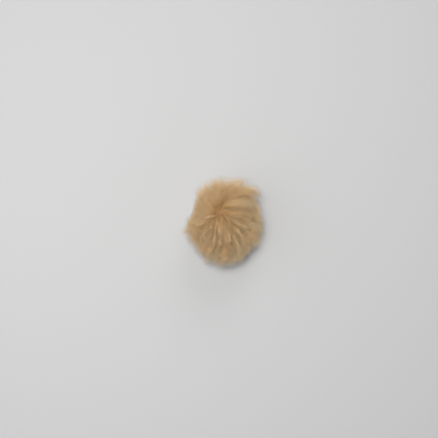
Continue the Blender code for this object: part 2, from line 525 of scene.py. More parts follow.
@dataclass(frozen=True)
class ModacrylicPile:
    """Modacrylic faux-fur pile, dyed camel and heat-set.

    To the eye: a soft, matt, warm tan with a faint bloom where strands are seen edge on, each lock a little off the
    next in tone; darker at the roots, partly by its own dye and partly by painted shade deep in the pile; pale at
    the tips.
    """

    name: str = "modacrylic_pile_camel"
    tones: tuple[tuple[float, str], ...] = ((0.0, "d3b081"), (0.5, "e9cfa6"), (1.0, "f6e8cc"))
    shades: tuple[tuple[float, str], ...] = (  # from root to tip, over the strand's tone
        # the darker root stops are partly the fibre's own dye and partly painted shade deep in the pile
        (0.0, "ad9064"),
        (0.22, "d9be93"),
        (0.62, "f8efdd"),
        (1.0, "ffffff"),
    )
    pale_tip: str = "e9e0d0"
    pale_tip_from: float = 0.7  # share of a strand's length at which its tip starts to turn pale cream
    pale_tip_share: float = 0.14
    roughness: float = 0.62
    specular: float = 0.35
    sheen: float = 0.15
    sheen_roughness: float = 0.45
    sheen_tint: str = "f3e2c8"

    def make(self) -> bpy.types.Material:
        """Builds the material: U picks the strand's tone; V darkens the root, partly as painted shade, and pales the
        tip.

        Returns:
            The material.
        """
        material, tree, output = new_material(self.name)
        pile_map = add_node(tree, "ShaderNodeUVMap", {"uv_map": PILE_MAP})
        split = add_node(tree, "ShaderNodeSeparateXYZ", inputs={"Vector": pile_map.outputs["UV"]})
        tone = add_node(tree, "ShaderNodeValToRGB", inputs={"Fac": split.outputs["X"]}, stops=self.tones)
        shade = add_node(tree, "ShaderNodeValToRGB", inputs={"Fac": split.outputs["Y"]}, stops=self.shades)
        shaded = add_node(
            tree,
            "ShaderNodeMix",
            {"data_type": "RGBA", "blend_type": "MULTIPLY"},
            {MIX_FACTOR: 1.0, MIX_A: tone.outputs["Color"], MIX_B: shade.outputs["Color"]},
        )
        tip = add_node(
            tree,
            "ShaderNodeMapRange",
            inputs={"Value": split.outputs["Y"], "From Min": self.pale_tip_from, "To Max": self.pale_tip_share},
        )
        pale_tip = add_node(
            tree,
            "ShaderNodeMix",
            {"data_type": "RGBA", "blend_type": "MIX"},
            {MIX_FACTOR: tip.outputs["Result"], MIX_A: shaded.outputs[MIX_RESULT], MIX_B: linear(self.pale_tip)},
        )
        shader = add_node(
            tree,
            "ShaderNodeBsdfPrincipled",
            inputs={
                "Base Color": pale_tip.outputs[MIX_RESULT],
                "Roughness": self.roughness,
                "Specular IOR Level": self.specular,
                "Sheen Weight": self.sheen,
                "Sheen Roughness": self.sheen_roughness,
                "Sheen Tint": linear(self.sheen_tint),
            },
        )
        tree.links.new(shader.outputs["BSDF"], output.inputs["Surface"])
        return material


@dataclass(frozen=True)
class MattedUndercoat:
    """The dense short underfibre of the same faux fur, matted by the long pile over it.

    To the eye: a dull tan, darker than the pile partly as painted shade deep under it, and faintly mottled; the
    grooves between its ridges along the pile are darker too, as painted shade.
    """

    name: str = "modacrylic_undercoat_camel"
    # from the grooves to the ridge tops; the dark end is painted shade, with the noise's mottle over it
    tones: tuple[tuple[float, str], ...] = ((0.2, "a38358"), (1.0, "caa87a"))
    mottle_mm: float = 2.2
    mottle_detail: float = 3.0
    mottle_share: float = 0.5  # how strong it is next to the streaks
    roughness: float = 0.85
    bump_mm: float = 0.5
    bump_strength: float = 0.8

    def make(self) -> bpy.types.Material:
        """Builds the material: streak height and noise pick the tone and raise it; the grooves get painted shade.

        Returns:
            The material.
        """
        material, tree, output = new_material(self.name)
        streak = add_node(tree, "ShaderNodeAttribute", {"attribute_name": "streak"})
        where = add_node(tree, "ShaderNodeTexCoord")
        mottle = add_node(
            tree,
            "ShaderNodeTexNoise",
            inputs={
                "Vector": where.outputs["Object"],
                "Scale": 1.0 / (self.mottle_mm * MM),
                "Detail": self.mottle_detail,
            },
        )
        both = add_node(
            tree,
            "ShaderNodeMath",
            {"operation": "MULTIPLY_ADD"},
            {0: mottle.outputs["Fac"], 1: self.mottle_share, 2: streak.outputs["Fac"]},
        )
        height = both.outputs["Value"]
        # the same height picks the tone, so the grooves between ridges are darker as painted shade; the noise adds a
        # mottle
        tone = add_node(tree, "ShaderNodeValToRGB", inputs={"Fac": height}, stops=self.tones)
        bump = add_node(
            tree,
            "ShaderNodeBump",
            inputs={"Height": height, "Distance": self.bump_mm * MM, "Strength": self.bump_strength},
        )
        shader = add_node(
            tree,
            "ShaderNodeBsdfPrincipled",
            inputs={
                "Base Color": tone.outputs["Color"],
                "Normal": bump.outputs["Normal"],
                "Roughness": self.roughness,
            },
        )
        tree.links.new(shader.outputs["BSDF"], output.inputs["Surface"])
        return material


@dataclass(frozen=True)
class PalePaper:
    """Uncoated drawing paper.

    To the eye: matt and neutral, with a tooth so faint that it only breaks up the light.
    """

    name: str = "uncoated_paper_pale"
    colour: str = "bebebe"
    tooth_mm: float = 0.8
    tooth_detail: float = 2.0
    tooth_height_mm: float = 0.03
    tooth_strength: float = 0.3
    roughness: float = 0.9
    specular: float = 0.2

    def make(self) -> bpy.types.Material:
        """Builds the material: one colour with the tooth as bump.

        Returns:
            The material.
        """
        material, tree, output = new_material(self.name)
        where = add_node(tree, "ShaderNodeTexCoord")
        tooth = add_node(
            tree,
            "ShaderNodeTexNoise",
            inputs={
                "Vector": where.outputs["Object"],
                "Scale": 1.0 / (self.tooth_mm * MM),
                "Detail": self.tooth_detail,
            },
        )
        bump = add_node(
            tree,
            "ShaderNodeBump",
            inputs={
                "Height": tooth.outputs["Fac"],
                "Distance": self.tooth_height_mm * MM,
                "Strength": self.tooth_strength,
            },
        )
        shader = add_node(
            tree,
            "ShaderNodeBsdfPrincipled",
            inputs={
                "Base Color": linear(self.colour),
                "Normal": bump.outputs["Normal"],
                "Roughness": self.roughness,
                "Specular IOR Level": self.specular,
            },
        )
        tree.links.new(shader.outputs["BSDF"], output.inputs["Surface"])
        return material


# Strands
# -------


class Section(Enum):
    """Cross-section of a strand, as (sideways, outwards) shares of its half width."""

    RIDGED = ((-1.0, -0.3), (1.0, -0.3), (0.0, 0.75))
    ROUND = ((-0.87, -0.5), (0.87, -0.5), (0.0, 1.0))


@dataclass
class Strands:
    """A batch of strands, all with the same number of points.

    Each strand is a closed sliver: a three-cornered section carried along its path, capped at the root, and drawn
    together to one point at the tip.
    """

    paths: Array  # strand, point, XYZ
    half_widths: Array  # strand
    tones: Array  # strand, from 0 dark to 1 pale
    section: Section = Section.RIDGED
    root_width: float = 0.75  # share of the full width
    widest_at: float = 0.25  # share of the length
    taper_power: float = 0.7
    tone_width: float = 0.006  # a strand's own stretch of the map to either side of its tone

    def triangles(self) -> int:
        """Counts the triangles that the batch becomes: a cap, six to a segment and three at the tip."""
        count, points, _ = self.paths.shape
        return count * (1 + 6 * (points - 2) + 3)

    def _rings(self, middle: Array) -> Array:
        """Gives the corners of all sections.

        The sideways direction is the path's direction crossed with the way out from the ball's middle. With t from
        0 at the root to 1 at the tip and w the place where a strand is widest, the width grows evenly from its share
        at the root to 1 at w, and then falls to nothing as ((1 - t) / (1 - w)) to the taper power.

        Args:
            middle: The ball's middle.

        Returns:
            Places, as strand, section, corner, XYZ.
        """
        along = unit(np.gradient(self.paths, axis=1))[:, :-1]
        places = self.paths[:, :-1]
        sideways = unit(np.cross(along, unit(places - middle)))
        outwards = np.cross(sideways, along)
        t = np.linspace(0.0, 1.0, self.paths.shape[1])[:-1]
        taper = np.clip((1.0 - t) / (1.0 - self.widest_at), 0.0, 1.0) ** self.taper_power
        taper = taper * (self.root_width + (1.0 - self.root_width) * np.clip(t / self.widest_at, 0.0, 1.0))
        width = self.half_widths[:, None, None] * taper[None, :, None]
        corners = [places + width * (s * sideways + o * outwards) for s, o in self.section.value]
        return np.stack(corners, axis=2)

    def to_object(self, name: str, middle: Array) -> bpy.types.Object:
        """Makes the batch one mesh.

        The map's U is each strand's tone, a touch less or more at the corners of its section, and V is the share of
        its length.

        Args:
            name: The object's name.
            middle: The ball's middle.

        Returns:
            The object, with the pile's UV map.
        """
        count, points, _ = self.paths.shape
        rings = self._rings(middle)
        segments = points - 1
        per_strand = segments * 3 + 1
        vertices = np.concatenate([rings.reshape(count, -1, 3), self.paths[:, -1:]], axis=1).reshape(-1, 3)

        ring, side = np.meshgrid(np.arange(segments - 1), np.arange(3), indexing="ij")
        after = (side + 1) % 3
        here, there = ring * 3, (ring + 1) * 3
        quads = np.stack([here + side, here + after, there + after, there + side], axis=-1).reshape(-1, 4)
        last = (segments - 1) * 3
        sides = np.arange(3)
        tips = np.stack([last + sides, last + (sides + 1) % 3, np.full(3, segments * 3)], axis=-1)
        cap = np.array([[2, 1, 0]])
        corners = np.concatenate([quads.ravel(), tips.ravel(), cap.ravel()])
        sizes = np.concatenate([np.full(len(quads), 4), np.full(len(tips) + len(cap), 3)])

        across = np.tile([-1.0, 1.0, 0.0], segments)
        across = np.append(across, 0.0) * self.tone_width
        along = np.append(np.repeat(np.arange(segments) / segments, 3), 1.0)
        corner_uv = np.stack([across[corners], along[corners]], axis=-1)
        corner_uv[-1, 1] = 0.5 / segments  # the cap reaches half a segment up the map, so that it has an area there
        spare = 2.0 * self.tone_width  # keeps every strand's stretch inside the map
        base = spare + self.tones * (1.0 - 2.0 * spare)
        uvs = np.tile(corner_uv, (count, 1, 1))
        uvs[..., 0] += base[:, None]

        offsets = (np.arange(count) * per_strand)[:, None]
        all_corners = (corners[None, :] + offsets).ravel()
        return mesh_object(name, vertices, all_corners, np.tile(sizes, count), PILE_MAP, uvs.reshape(-1, 2))


def ripple(random: np.random.Generator, t: Array, count: int, size: float, waves: tuple[float, float]) -> Array:
    """Draws one gentle wave for each strand: size times sin(2 pi (waves t + start)) times t.

    Args:
        random: Source of each strand's number of waves and of its start.
        t: Share of the way from root to tip, as 1, point.
        count: Number of strands.
        size: Height of the wave at the tip, in radians.
        waves: Least and greatest number of waves.

    Returns:
        Sideways shifts in radians, as strand, point.
    """
    turns = random.uniform(*waves, (count, 1)) * t + random.uniform(0.0, 1.0, (count, 1))
    return size * np.sin(math.tau * turns) * t


@dataclass(frozen=True)
class StrandStyle:
    """How the strands of a layer grow."""

    points: int
    half_width: float
    rise: float
    reach: tuple[float, float]  # least and greatest share of the solid's reach that tips come to
    sharpness: float  # how closely the strands follow the locks of the solid
    length_spread: float = 0.12  # how much the strands of one lock differ in reach
    sweep: float = 1.1
    wave: float = 0.35 * MM
    bow: float = 1.8 * MM  # sideways bow of a whole lock, against the turn of the whorl
    sway: float = 1.8 * MM  # how far its tip strays to either side

    def swept(self, t: Array) -> Array:
        """Gives how far the angle from the whorl has changed at the share t of a strand's length: t^sweep."""
        return t**self.sweep

    def climbed(self, t: Array) -> Array:
        """Gives how far the radius has grown at the share t of a strand's length: 1 - (1 - t)^rise."""
        return 1.0 - (1.0 - t) ** self.rise


class Layer(Enum):
    """The kinds of strand that faux fur is knitted from, and the stray ones."""

    GUARD = StrandStyle(5, 0.095 * MM, rise=1.25, reach=(0.72, 1.06), sharpness=0.75)
    # the guard strands of the lower rows, whose ends make the outline
    SKIRT = StrandStyle(5, 0.095 * MM, rise=1.25, reach=(0.74, 1.04), sharpness=0.65, length_spread=0.15)
    UNDER = StrandStyle(4, 0.12 * MM, rise=1.1, reach=(0.76, 1.00), sharpness=0.4)
    STRAY = StrandStyle(4, 0.065 * MM, rise=1.0, reach=(0.92, 1.15), sharpness=0.6)


@dataclass
class PileLayer(ABC):
    """Sub-assembly: one layer of pile. Each kind of layer grows its strands by its own rule."""

    name: str
    form: BallForm
    seed: int

    @abstractmethod
    def strands(self) -> Strands:
        """Grows the layer's strands."""

    def build(self) -> bpy.types.Object:
        """Makes the layer's mesh.

        Returns:
            The piece.
        """
        strands = self.strands()
        LOG.info("%s: %d strands, %d triangles", self.name, len(strands.paths), strands.triangles())
        return strands.to_object(self.name, self.form.middle)

    def dress(self, piece: bpy.types.Object, pile: bpy.types.Material) -> None:
        """Gives the piece its finish and ties it to the solid's body.

        Args:
            piece: The layer's object.
            pile: The finish that all layers share.
        """
        piece.data.materials.append(pile)
        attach(piece, BODY)


@dataclass(frozen=True)
class LockRow:
    """One row of overlapping locks."""

    root_deg: float  # angles from the whorl
    tip_deg: float
    shift: float  # round the ball, in locks


@dataclass
class LockRowPile(PileLayer):
    """The guard strands of one or more rows of locks.

    Strands gather in small locks, and the small locks lean together towards the middle of the broad lock that they
    belong to, so that every broad lock of the solid ball ends in a few pointed wisps.
    """

    style: StrandStyle
    rows: tuple[LockRow, ...]
    locks: int
    strands_per_lock: int
    tone: float
    gather: tuple[float, float]  # share of the way that strands, then small locks, come together
    gather_power: float = 1.5
    locks_around: int = 20
    root_spread_deg: float = 20.0
    root_early: float = 0.45  # share of that spread by which roots may start early
    tip_spread_deg: float = 7.0
    lock_half_width: float = 1.15 * MM
    length_unevenness: float = 0.10
    waves: tuple[float, float] = (0.6, 1.4)
    bows: tuple[float, float] = (0.2, 1.5)  # least and greatest bow, as shares of the style's own
    tip_stray: float = 0.8 * MM
    calm_stray: float = 0.4  # share of that stray away from the fluffed side
    fluffed_stray: float = 1.6  # what the fluffed side adds to that share
    fluffed_apart: float = 0.6  # how much less gathers on the fluffed side
    fluffed_spread: float = 0.6  # how much more the reach differs there
    fluffed_shorter: float = 0.35
    tone_spread: float = 0.10  # among small locks, and again among the strands of one

    def _lock_table(self, random: np.random.Generator) -> dict[str, Array]:
        """Draws the small locks row by row, in shares that follow each row's area.

        Args:
            random: Source of the differences between locks.

        Returns:
            Each measure by its name, one value for each small lock.
        """
        areas = np.array([math.sin(math.radians(0.5 * (r.root_deg + r.tip_deg))) for r in self.rows])
        counts = np.round(self.locks * areas / areas.sum()).astype(int)
        row = np.repeat(np.arange(len(self.rows)), counts)
        total = len(row)
        line = np.concatenate([(np.arange(n) + random.uniform(0, 1, n)) / n for n in counts]) * math.tau
        shift = np.array([r.shift for r in self.rows])[row]
        broad = np.floor(line * self.locks_around / math.tau + shift)
        centre = (broad + 0.5 - shift) * math.tau / self.locks_around
        root = np.radians(np.array([r.root_deg for r in self.rows])[row])
        tip = np.radians(np.array([r.tip_deg for r in self.rows])[row])
        root = root + np.radians(self.root_spread_deg) * random.uniform(-self.root_early, 1.0, total)
        root = np.where(root < 0.0, root * self.form.whorl.beyond(line), root)
        tip = tip + np.radians(self.tip_spread_deg) * random.uniform(-1.0, 1.0, total)
        return {
            "line": line,
            "centre": centre,
            "root": root,
            "tip": tip,
            "reach": random.uniform(*self.style.reach, total),
            "bow": self.style.bow * random.uniform(*self.bows, total),
            "sway": self.style.sway * random.normal(0.0, 1.0, total),
            "tone": random.normal(self.tone, self.tone_spread, total),
        }

    def strands(self) -> Strands:
        """Grows the strands.

        With t from 0 at the root to 1 at the tip, each small lock is drawn together and sways as t to the gather
        power; the angle from the whorl and the radius change as the style says; the lock line moves towards the
        broad lock's middle, bows sideways as 4t(1 - t) and waves slightly; each strand strays on its own as t^2.

        Returns:
            The batch.
        """
        random = np.random.default_rng(self.seed)
        table = self._lock_table(random)
        owner = np.repeat(np.arange(len(table["line"])), self.strands_per_lock)
        total = len(owner)
        t = np.linspace(0.0, 1.0, self.style.points)[None, :]
        lock = {name: values[owner][:, None] for name, values in table.items()}
        radius = self.form.radius

        fluffed = self.form.whorl.fluffed(lock["line"])
        apart = 1.0 - self.fluffed_apart * fluffed
        drawn = t**self.gather_power
        loose = 1.0 - self.gather[0] * apart * drawn
        aside = random.normal(0.0, self.lock_half_width / radius, (total, 1)) * loose
        ahead = random.normal(0.0, self.lock_half_width / radius, (total, 1)) * loose
        length = 1.0 + random.normal(0.0, self.length_unevenness, (total, 1))
        length = length * (1.0 - self.fluffed_shorter * fluffed)
        angle = lock["root"] + (lock["tip"] - lock["root"]) * length * self.style.swept(t)
        angle = np.minimum(angle, LAST_ANGLE)
        line = lock["line"] + (lock["centre"] - lock["line"]) * self.gather[1] * apart * drawn

        wave = ripple(random, t, total, self.style.wave / radius, self.waves)
        bow = lock["bow"] / radius * 4.0 * t * (1.0 - t)
        sway = lock["sway"] / radius * drawn
        wild = self.calm_stray + self.fluffed_stray * fluffed
        stray = random.normal(0.0, self.tip_stray / radius, (total, 1)) * wild * t**2
        towards = beside(self.form.whorl.directions(angle, line), aside + wave + bow + sway + stray, ahead)

        spread = self.style.length_spread * (1.0 + self.fluffed_spread * fluffed)
        share = lock["reach"] * (1.0 + random.normal(0.0, 1.0, (total, 1)) * spread)
        paths = self.form.grown(towards, self.style.sharpness, share, self.style.climbed(t))
        tones = table["tone"][owner] + random.normal(0.0, self.tone_spread, total)
        widths = self.style.half_width * random.uniform(*THICKNESSES, total)
        return Strands(paths, widths, np.clip(tones, 0.0, 1.0))


@dataclass
class LoosePile(PileLayer):
    """Strands that stand one by one, as the underfibre and the strays do."""

    style: StrandStyle
    count: int
    span_deg: float = 30.0
    tone: float = 0.42
    spans: tuple[float, float] = (0.5, 1.4)  # least and greatest span, as shares of that one
    span_limit: float = 0.7  # of the way that is left to the far side
    line_jitter: float = 0.02
    crossing_deg: float = 8.0  # how far before its own place a strand starts at the parting, to close it
    crossing_fade_deg: float = 12.0
    waves: tuple[float, float] = (0.5, 1.2)
    tip_sway: float = 2.0 * MM
    tone_spread: float = 0.14

    def strands(self) -> Strands:
        """Grows the strands.

        The roots are spread evenly by area: the cosine of the angle from the whorl steps evenly from 1 to -1 while
        the azimuth steps by the golden angle, with a little jitter. Each strand waves slightly and sways as t.

        Returns:
            The batch.
        """
        random = np.random.default_rng(self.seed)
        each = (self.count, 1)
        number = np.arange(self.count) + 0.5
        golden = math.pi * (3.0 - math.sqrt(5.0))
        root = self.form.whorl.even(np.arccos(np.clip(1.0 - 2.0 * number / self.count, -1.0, 1.0)))[:, None]
        line = ((number * golden) % math.tau)[:, None] + random.normal(0.0, self.line_jitter, each)
        t = np.linspace(0.0, 1.0, self.style.points)[None, :]
        radius = self.form.radius
        span = np.radians(self.span_deg) * random.uniform(*self.spans, each)
        span = np.minimum(span, (math.pi - root) * self.span_limit)
        crossing = math.radians(self.crossing_deg) * fading(root, self.crossing_fade_deg)
        crossing = crossing * self.form.whorl.beyond(line)
        angle = np.minimum(root - crossing + span * self.style.swept(t), LAST_ANGLE)
        wave = ripple(random, t, self.count, self.style.wave / radius, self.waves)
        sway = random.normal(0.0, self.tip_sway / radius, each) * t
        towards = beside(self.form.whorl.directions(angle, line + 0.0 * t), sway + wave, 0.0 * t)
        share = random.uniform(*self.style.reach, each)
        paths = self.form.grown(towards, self.style.sharpness, share, self.style.climbed(t))
        tones = np.clip(random.normal(self.tone, self.tone_spread, self.count), 0.0, 1.0)
        widths = self.style.half_width * random.uniform(*THICKNESSES, self.count)
        return Strands(paths, widths, tones, Section.ROUND)


@dataclass(frozen=True)
class Sweep:
    """A lock that was combed over the others.

    Its path is the cubic curve drawn from four places, each given by azimuth and height in degrees, the lock's half
    width in millimetres, and the share of the ball's reach that it lies at.
    """

    strands: int
    tone: float
    places: tuple[tuple[float, float, float, float], ...]
    first: float = 0.0  # share of its way at which the first strands start


@dataclass
class CombedLocks(PileLayer):
    """The broad and narrow locks that lie on top and give the ball its combed look."""

    sweeps: tuple[Sweep, ...]
    points: int = 7
    half_width: float = 0.09 * MM
    layer_depth: float = 2.2 * MM
    start_spread: float = 0.35  # share of the way over which strands start
    first_end: float = 0.76  # share of the way at which the shortest strands end
    crowding: float = 0.6  # standard deviation across the lock, in half widths
    wave: float = 0.35 * MM
    waves: tuple[float, float] = (0.6, 1.4)
    reach_spread: float = 0.03
    sharpness: float = 0.3
    climb_power: int = 3
    tone_spread: float = 0.12

    def _grown(self, sweep: Sweep, random: np.random.Generator) -> tuple[Array, Array]:
        """Grows one sweep's strands.

        A strand takes up a part of the sweep's length. Its places are weighted by (1 - s)^3, 3s(1 - s)^2,
        3s^2(1 - s) and s^3, and it keeps its own share of the half width and its own depth. The radius climbs from
        the undercoat as 1 - (1 - t) to the climb power.

        Args:
            sweep: The lock.
            random: Source of the differences between strands.

        Returns:
            Paths and tones.
        """
        each = (sweep.strands, 1)
        radius = self.form.radius
        t = np.linspace(0.0, 1.0, self.points)[None, :]
        start = sweep.first + random.uniform(0.0, self.start_spread, each) * (1.0 - sweep.first)
        end = random.uniform(self.first_end, 1.0, each)
        s = start + (end - start) * t
        weights = np.stack([(1 - s) ** 3, 3 * s * (1 - s) ** 2, 3 * s**2 * (1 - s), s**3], axis=-1)
        knots = np.stack([direction(azimuth, height) for azimuth, height, _, _ in sweep.places])
        half = weights @ np.array([place[2] for place in sweep.places])
        share = weights @ np.array([place[3] for place in sweep.places])
        side = random.normal(0.0, self.crowding, each) * half * MM / radius
        side = side + ripple(random, t, sweep.strands, self.wave / radius, self.waves)
        towards = beside(unit(weights @ knots), side, 0.0 * t)
        share = share * (1.0 + random.normal(0.0, self.reach_spread, each) * t)
        outer = self.form.reach.look_up(towards, self.sharpness) * share
        outer = outer - self.layer_depth * random.uniform(0.0, 1.0, each)
        climb = 1.0 - (1.0 - t) ** self.climb_power
        paths = self.form.placed(towards, self.form.undercoat(towards), outer, climb)
        return paths, random.normal(sweep.tone, self.tone_spread, sweep.strands)

    def strands(self) -> Strands:
        """Grows all sweeps, one after the other.

        Returns:
            The batch.
        """
        random = np.random.default_rng(self.seed)
        grown = [self._grown(sweep, random) for sweep in self.sweeps]
        paths = np.concatenate([paths for paths, _ in grown])
        tones = np.clip(np.concatenate([tones for _, tones in grown]), 0.0, 1.0)
        widths = self.half_width * random.uniform(*THICKNESSES, len(paths))
        return Strands(paths, widths, tones)


@dataclass
class UndercoatBall:
    """Sub-assembly: the dense body of the ball, which the long pile grows from."""

    form: BallForm
    name: str = "undercoat_ball"
    rings: int = 72
    columns: int = 144
    ridge: float = 0.6 * MM
    ridges: tuple[tuple[int, float, float], ...] = (
        # waves round, waves down, start in radians
        (23, 3.0, 0.4),
        (37, -5.0, 2.1),
        (58, 7.0, 4.4),
    )
    # the streak attribute carries the ridges' height; the finish darkens the grooves with it, as painted shade
    mean_streak: float = 0.3  # the streak attribute where there is no ridge
    streak_height: float = 0.25  # what a full ridge adds to it
    fill: float = 0.8  # how tightly the ball is packed, from 0 slack to 1 tight

    def build(self) -> bpy.types.Object:
        """Makes the body.

        On a grid of angle from the whorl and lock line, the radius is the undercoat's own plus ridges that are the
        mean of a few sines along the lock lines, flattened at the poles as the root of the angle's sine. Both poles
        are single vertices.

        Returns:
            The object, with the ridges' height as its streak attribute.
        """
        angles = np.linspace(0.0, math.pi, self.rings + 1)[:, None] * np.ones(self.columns)
        lines = np.ones((self.rings + 1, 1)) * np.arange(self.columns) * math.tau / self.columns
        streak = sum(np.sin(n * lines + down * angles + start) for n, down, start in self.ridges)
        streak = streak / len(self.ridges) * np.sin(angles) ** 0.5
        towards = self.form.whorl.directions(angles, lines, parted=0.0)
        radii = self.form.undercoat(towards) + self.ridge * streak
        grid = self.form.above_floor(self.form.middle + towards * radii[..., None])
        vertices = np.concatenate([grid[:1, 0], grid[1:-1].reshape(-1, 3), grid[-1:, 0]])
        streaks = np.concatenate([streak[:1, 0], streak[1:-1].ravel(), streak[-1:, 0]])
        streaks = streaks * self.streak_height + self.mean_streak

        ring, column = np.meshgrid(np.arange(self.rings - 2), np.arange(self.columns), indexing="ij")
        after = (column + 1) % self.columns
        first = 1 + ring * self.columns
        below = first + self.columns
        quads = np.stack([first + column, below + column, below + after, first + after], axis=-1).reshape(-1, 4)
        around = np.arange(self.columns)
        onward = (around + 1) % self.columns
        last = 1 + (self.rings - 1) * self.columns
        edge = last - self.columns
        top = np.stack([np.zeros_like(around), 1 + around, 1 + onward], axis=-1)
        bottom = np.stack([np.full_like(around, last), edge + onward, edge + around], axis=-1)
        corners = np.concatenate([quads.ravel(), top.ravel(), bottom.ravel()])
        sizes = np.concatenate([np.full(len(quads), 4), np.full(len(top) + len(bottom), 3)])
        piece = mesh_object(self.name, vertices, corners, sizes)
        attribute = piece.data.attributes.new("streak", "FLOAT", "POINT")
        attribute.data.foreach_set("value", streaks.astype(np.float32))
        LOG.info("%s: %d vertices", self.name, len(vertices))
        return piece

    def dress(self, piece: bpy.types.Object, finish: MattedUndercoat) -> None:
        """Gives the body its finish, and shows it in the solid ball's place.

        Args:
            piece: The body's object.
            finish: What it is made of.
        """
        piece.data.materials.append(finish.make())
        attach(piece, BODY)
        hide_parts(NODE)


ROWS: tuple[LockRow, ...] = (
    LockRow(2.0, 46.0, 0.0),
    LockRow(22.0, 61.0, 0.5),
    LockRow(50.0, 90.0, 0.1),
    LockRow(78.0, 113.0, 0.6),
    LockRow(104.0, 135.0, 0.2),
    LockRow(128.0, 158.0, 0.7),
)

# azimuth, height, half width in millimetres and share of the reach, at four places of each lock
SWEEPS: tuple[Sweep, ...] = (
    # the broad pale lock from the parting to the far right
    Sweep(280, 0.56, ((108, 62, 1.0, 0.98), (84, 60, 3.2, 1.01), (54, 52, 3.8, 1.02), (20, 14, 3.0, 1.02))),
    # the lock above it that ends in the corner tip
    Sweep(300, 0.50, ((94, 50, 2.0, 0.97), (76, 42, 3.2, 1.02), (54, 24, 3.2, 1.09), (30, -3, 1.0, 1.21))),
    # the lock beside it, on its far side
    Sweep(130, 0.52, ((100, 52, 2.0, 0.98), (84, 44, 3.0, 1.02), (70, 26, 3.4, 1.06), (60, 0, 2.6, 1.17))),
    # the broad pale end at the right, pale partly by its own tone and partly as painted light on the right side
    Sweep(150, 0.80, ((30, 66, 1.5, 0.98), (0, 55, 3.4, 1.01), (-10, 30, 3.8, 1.02), (-14, 4, 3.0, 1.02))),
    # the lock that shows under the first one, darker partly by its own tone and partly as painted shade under that
    # lock
    Sweep(170, 0.22, ((108, 68, 1.0, 0.97), (64, 76, 2.4, 1.00), (24, 61, 2.8, 1.01), (8, 30, 1.8, 1.01))),
    # the tuft at the left
    Sweep(300, 0.52, ((160, 60, 2.0, 0.97), (178, 50, 4.0, 1.00), (188, 28, 6.2, 1.03), (195, 0, 6.6, 1.07))),
    # the tuft at the near left
    Sweep(150, 0.45, ((200, 58, 2.0, 0.97), (222, 48, 3.5, 1.00), (236, 26, 4.4, 1.02), (242, 0, 4.0, 1.07))),
    # the tip at the near side
    Sweep(160, 0.42, ((262, 52, 2.0, 0.98), (268, 42, 2.6, 1.00), (273, 26, 2.8, 1.02), (274, 2, 2.2, 1.05))),
    # the flat lock that fills the near side of the whorl, dark partly by its own tone and partly as painted shade
    # around the whorl
    Sweep(130, 0.22, ((130, 70, 1.5, 0.97), (175, 80, 2.8, 0.99), (245, 78, 3.0, 1.00), (264, 58, 2.2, 1.01))),
    # narrow pale wisps that fan out from the whorl to the near right
    Sweep(55, 0.48, ((135, 73, 0.8, 0.97), (354, 82, 1.0, 0.99), (330, 63, 1.1, 1.00), (318, 44, 0.5, 1.02)), 0.25),
    Sweep(45, 0.48, ((140, 76, 0.8, 0.97), (300, 83, 0.9, 0.99), (296, 68, 0.9, 1.00), (290, 55, 0.5, 1.02)), 0.25),
    Sweep(45, 0.48, ((150, 76, 0.8, 0.97), (262, 80, 0.9, 0.99), (276, 67, 0.9, 1.00), (279, 54, 0.5, 1.02)), 0.25),
    Sweep(45, 0.48, ((160, 76, 0.8, 0.97), (214, 74, 0.9, 0.99), (238, 62, 0.9, 1.00), (252, 46, 0.5, 1.02)), 0.25),
    Sweep(55, 0.48, ((125, 75, 0.8, 0.97), (10, 77, 1.0, 0.99), (350, 60, 1.1, 1.00), (343, 38, 0.5, 1.02)), 0.25),
    Sweep(50, 0.48, ((112, 72, 0.8, 0.97), (38, 70, 0.9, 0.99), (12, 55, 1.0, 1.00), (0, 34, 0.5, 1.02)), 0.25),
    Sweep(45, 0.48, ((130, 77, 0.8, 0.97), (320, 80, 0.9, 0.99), (306, 60, 0.9, 1.00), (301, 40, 0.5, 1.02)), 0.25),
    # pale wisps that run out to the left
    Sweep(45, 0.46, ((110, 75, 0.8, 0.97), (135, 75, 0.9, 0.99), (160, 66, 0.9, 1.01), (172, 50, 0.5, 1.02)), 0.1),
    Sweep(50, 0.48, ((140, 74, 0.8, 0.97), (172, 72, 1.0, 0.99), (184, 54, 1.0, 1.01), (188, 30, 0.6, 1.03)), 0.15),
    # wisps between them and below them, in the darkest tone, partly as painted shade between and under the pale
    # wisps
    Sweep(55, 0.04, ((150, 76, 0.8, 0.97), (190, 76, 1.0, 0.99), (201, 58, 1.0, 1.01), (202, 36, 0.6, 1.02)), 0.15),
    Sweep(60, 0.04, ((190, 76, 0.8, 0.97), (225, 74, 1.0, 0.99), (240, 62, 1.1, 1.00), (243, 46, 0.7, 1.01)), 0.3),
    # the hollow where the near wisps end, its strands in the darkest tone as painted shade in the hollow
    Sweep(85, 0.02, ((286, 62, 1.5, 0.96), (285, 54, 2.6, 0.98), (284, 46, 2.8, 0.98), (282, 37, 2.0, 0.98))),
)


